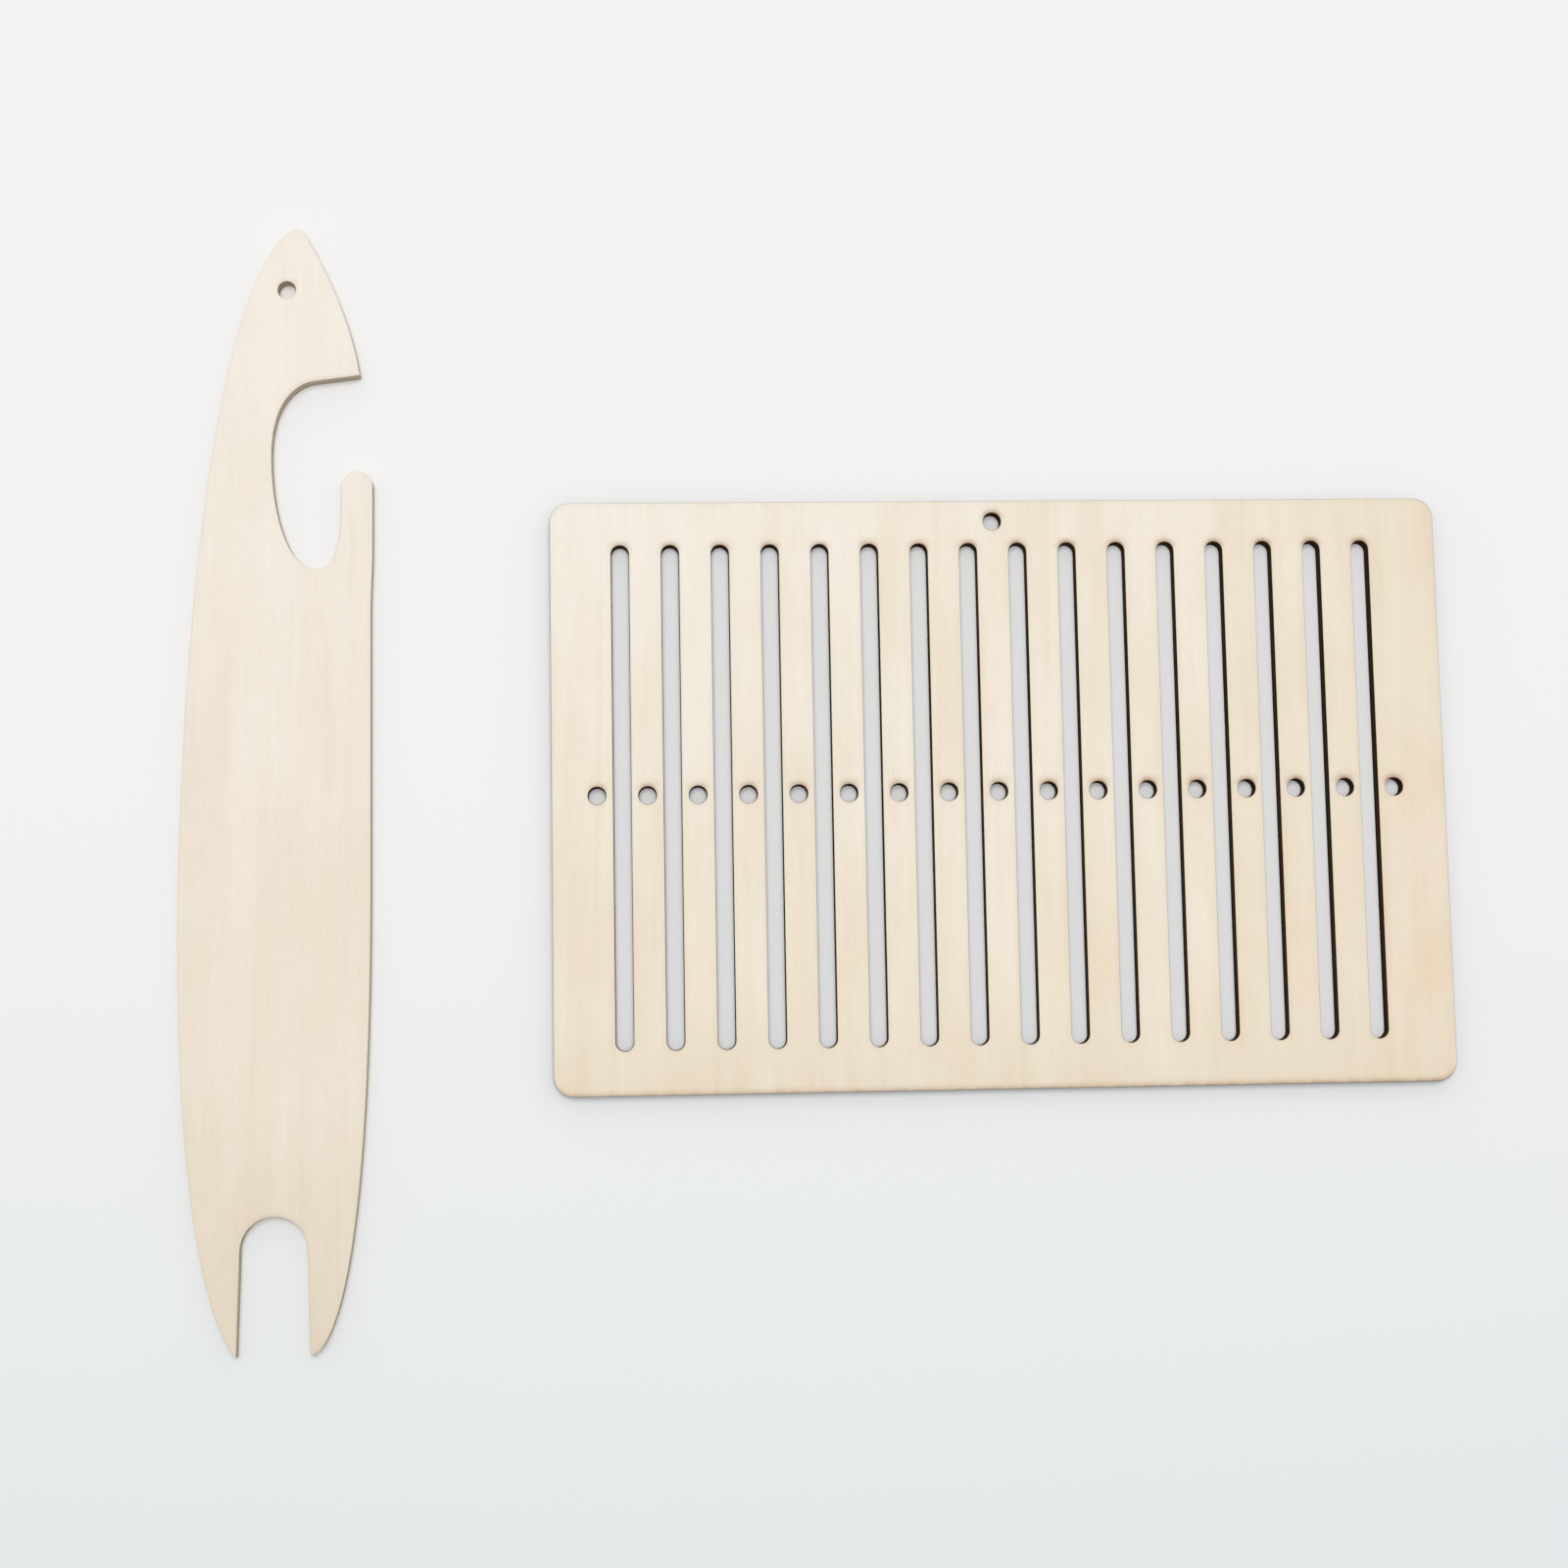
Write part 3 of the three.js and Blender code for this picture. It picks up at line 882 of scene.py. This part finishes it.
# The shuttle's outline and its thread eye. The outline runs from the flank's tail up to the finger,
# round the notch and under the barb, over the nose, down the back and round the fork: arcs at the
# nose, the finger and the fork, and Bezier curves between them.
def shuttleRings(low, high):
    size, pull = shuttle, shuttlePull
    noseY, tailY = (high[1] - low[1]) / 2, -(high[1] - low[1]) / 2
    fingerX = size["flankReach"] + size["fingerFlare"]
    fingerInnerX = fingerX - size["fingerWidth"]
    fingerRadius = size["fingerWidth"] / 2
    shoulderY = noseY - size["fingerDrop"] - fingerRadius
    noseCentre = (size["noseOffset"], noseY - size["noseRadius"])
    barb = (fingerX - size["barbInset"], noseY - size["barbDrop"])
    undersideHeading = 180 + size["undersideSlope"]
    barbRoot = along(barb, undersideHeading, size["undersideLength"])
    throat = (fingerInnerX - size["notchWidth"], noseY - size["throatDrop"])
    notchFloor = (fingerInnerX - size["notchFloorInset"], noseY - size["notchFloorDrop"])
    belly = (-size["backReach"], tailY + size["backReachRise"])
    forkMouth = size["forkRadius"] + size["forkDraft"]
    forkCentre = (0, tailY + size["forkDepth"] - size["forkRadius"])
    backTail = (-forkMouth - size["backTailWidth"], tailY)
    flankTail = (forkMouth + size["flankTailWidth"], tailY + size["flankTailRise"])
    taperTop = (size["flankReach"], tailY + size["flankTaperRise"])
    flareFoot = (size["flankReach"], noseY - size["flankFlareDrop"])
    flareTop = (fingerX, flareFoot[1] + size["flareLength"])
    flarePull = size["flareLength"] / 2
    flankSide, backSide = 90 - size["noseRoundFlank"], 90 + size["noseRoundBack"]
    noseFlankEnd = along(noseCentre, flankSide, size["noseRadius"])
    noseBackEnd = along(noseCentre, backSide, size["noseRadius"])
    edge = [
        sweepRun(flankTail, size["flankTailHeading"], pull["tailToFlank"],
                 taperTop, down, pull["flankToTail"]),
        sweepRun(flareFoot, up, flarePull, flareTop, down, flarePull),
        arcRun((fingerX - fingerRadius, shoulderY), fingerRadius, 0, 180),
        sweepRun((fingerInnerX, shoulderY - size["fingerStraight"]), down, pull["fingerToFloor"],
                 notchFloor, right, pull["floorToFinger"]),
        sweepRun(notchFloor, left, pull["floorToThroat"], throat, down, pull["throatToFloor"]),
        sweepRun(throat, up, pull["throatToRoot"], barbRoot, undersideHeading, pull["rootToThroat"]),
        sweepRun(barb, size["barbHeading"], pull["barbToNose"],
                 noseFlankEnd, flankSide - 90, pull["noseToBarb"]),
        arcRun(noseCentre, size["noseRadius"], flankSide, backSide),
        sweepRun(noseBackEnd, backSide + 90, pull["noseToBack"], belly, up, pull["backToNose"]),
        sweepRun(belly, down, pull["backToTail"], backTail, size["backTailHeading"], pull["tailToBack"]),
        [(-forkMouth, tailY)],
        arcRun(forkCentre, size["forkRadius"], 180, 0),
        [(forkMouth, tailY)],
    ]
    threadEye = holeRun(size["threadEyeOffset"], noseY - size["threadEyeDrop"], size["threadEyeDiameter"])
    return [
        cutRing(edge, size["spacing"], laserCut["outerLean"]),
        cutRing(threadEye, size["spacing"], laserCut["innerLean"]),
    ]


# A finished tool, riding on its body in place of its plain solid.
def buildPiece(name, node, body, rings, place, materials):
    low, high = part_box(node)
    piece = cutSheet(name, rings, high[2] - low[2], place, materials)
    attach(piece, body)
    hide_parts(node)


heddleLow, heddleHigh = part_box("rigid_heddle")
heddleMiddle = (heddleLow + heddleHigh) / 2
buildPiece(
    "heddle_plate", "rigid_heddle", "heddle",
    heddleRings(heddleLow, heddleHigh), heddleMiddle,
    (veneerMaterial("heddleVeneer", heddleLook), cutMaterial("heddleCut", heddleCutLook),
     veneerMaterial("heddleUnderside", heddleUnderside)))
print("heddle done")

shuttleLow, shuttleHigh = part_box("stick_shuttle")
shuttleMiddle = (shuttleLow[0] + shuttle["backReach"], (shuttleLow[1] + shuttleHigh[1]) / 2)
buildPiece(
    "shuttle_stick", "stick_shuttle", "shuttle",
    shuttleRings(shuttleLow, shuttleHigh), shuttleMiddle,
    (veneerMaterial("shuttleVeneer", shuttleLook), cutMaterial("shuttleCut", shuttleCutLook),
     veneerMaterial("shuttleUnderside", shuttleUnderside)))
print("shuttle done")


# What lies under and behind the tools
background = paint(243, 243, 243)
floorLook = {
    "halfWidth": 3.0,
    "plain": background,
    # painted shade: the floor darker and cooler just below the tools, where the light falls off
    "coolShade": paint(229, 235, 235),
    "shadeAlong": (-0.18, 0.02),       # Y at which the floor is all cool and all plain
    "shadeAway": (0.24, 0.36),         # distances from the middle over which it turns plain anyway
    "fadeAway": (0.26, 0.7),          # and over which it fades
    "roughness": 0.9,
    "sheen": 0.1,
}


# A plain pale floor, with painted shade just below the tools, where it is darker and cooler as the light
# falls off.
# Well away from them the camera sees it fade into the even background, which has no horizon.
def makeFloor():
    side = floorLook["halfWidth"]
    corners = [(-side, -side, 0), (side, -side, 0), (side, side, 0), (-side, side, 0)]
    mesh = bpy.data.meshes.new("floor")
    mesh.from_pydata(corners, [], [(0, 1, 2, 3)])
    material, tree, shader, place = newMaterial("floorPaper")
    distance = vectorCalc(tree, "LENGTH", place)["Value"]
    above = spread(tree, split(tree, place)["Y"], *floorLook["shadeAlong"])
    away = spread(tree, distance, *floorLook["shadeAway"])
    plain = calc(tree, "MAXIMUM", above, away)
    feed(tree, shader.inputs["Base Color"], blend(tree, plain, floorLook["coolShade"], floorLook["plain"]))
    shader.inputs["Roughness"].default_value = floorLook["roughness"]
    shader.inputs["Specular IOR Level"].default_value = floorLook["sheen"]
    fade = spread(tree, distance, *floorLook["fadeAway"])
    seen = tree.nodes.new("ShaderNodeLightPath").outputs["Is Camera Ray"]
    glow = tree.nodes.new("ShaderNodeEmission")
    glow.inputs["Color"].default_value = background
    mixed = tree.nodes.new("ShaderNodeMixShader")
    feed(tree, mixed.inputs[0], calc(tree, "MULTIPLY", fade, seen))
    tree.links.new(shader.outputs["BSDF"], mixed.inputs[1])
    tree.links.new(glow.outputs["Emission"], mixed.inputs[2])
    tree.links.new(mixed.outputs["Shader"], tree.nodes["Material Output"].inputs["Surface"])
    mesh.materials.append(material)
    floor = bpy.data.objects.new("floor", mesh)
    scene.collection.objects.link(floor)


lighting = {
    "lampPlace": (-0.04, 0.17, 2.2),
    "lampWidth": 1.0,
    "lampLength": 1.35,
    "lampShare": 0.64,
    "skyShare": 0.41,
    "skyLean": 0.6,
}


# One wide soft lamp high overhead, and a pale sky that is brighter towards +Y: its strength in a
# direction is skyShare * (1 + skyLean * y). The shares add up to a level at which white is white.
def makeLight():
    lamp = bpy.data.lights.new("softLamp", "AREA")
    lamp.shape = "RECTANGLE"
    lamp.size, lamp.size_y = lighting["lampWidth"], lighting["lampLength"]
    place = Vector(lighting["lampPlace"])
    # irradiance pi on the floor is level 1: power = share * pi^2 * distance^2 / cosine there
    lamp.energy = lighting["lampShare"] * math.pi ** 2 * place.length_squared / (place.z / place.length)
    holder = bpy.data.objects.new("softLamp", lamp)
    holder.location = place
    holder.rotation_euler = place.to_track_quat("Z", "Y").to_euler()
    scene.collection.objects.link(holder)

    world = bpy.data.worlds.new("paleSky")
    scene.world = world
    world.use_nodes = True
    tree = world.node_tree
    sky = tree.nodes["Background"]
    sky.inputs["Color"].default_value = (1, 1, 1, 1)
    path = tree.nodes.new("ShaderNodeLightPath")
    seen = calc(tree, "MAXIMUM", path.outputs["Is Camera Ray"], path.outputs["Is Transmission Ray"])
    direction = split(tree, tree.nodes.new("ShaderNodeTexCoord").outputs["Generated"])
    share = lighting["skyShare"]
    strength = calc(tree, "MULTIPLY_ADD", direction["Y"], share * lighting["skyLean"], share)
    feed(tree, sky.inputs["Strength"], spread(tree, seen, 0.0, 1.0, strength, background[0], smooth=False))


view = {
    "eye": (-34.00 * mm, -54.19 * mm, 495.00 * mm),
    "aim": (-6.84 * mm, -1.43 * mm, 1.5 * mm),      # a point that the lens axis passes through
    "roll": 1.013,                                  # degrees from +Y towards +X that its upright leans
    "sensor": 36,
    "lens": 56.975,
    "shiftX": -0.00092,
    "shiftY": -0.00140,
}


# The camera looks nearly straight down, from a little left of the pair's middle and nearer its foot.
# Its upright is +Y made square to the lens axis, then turned round it by the roll.
def makeCamera():
    data = bpy.data.cameras.new("camera")
    data.sensor_width = view["sensor"]
    data.lens = view["lens"]
    data.shift_x, data.shift_y = view["shiftX"], view["shiftY"]
    eye, aim = Vector(view["eye"]), Vector(view["aim"])
    back = (eye - aim).normalized()
    upright = (Vector((0, 1, 0)) - back * back.y).normalized()
    side = upright.cross(back)
    roll = math.radians(view["roll"])
    upright, side = (
        upright * math.cos(roll) + side * math.sin(roll),
        side * math.cos(roll) - upright * math.sin(roll))
    turned = Matrix((side, upright, back)).transposed().to_4x4()
    camera = bpy.data.objects.new("camera", data)
    camera.matrix_world = Matrix.Translation(eye) @ turned
    scene.collection.objects.link(camera)
    scene.camera = camera


makeFloor()
makeLight()
makeCamera()
scene.view_settings.view_transform = "Standard"
print("floor, light and camera done")
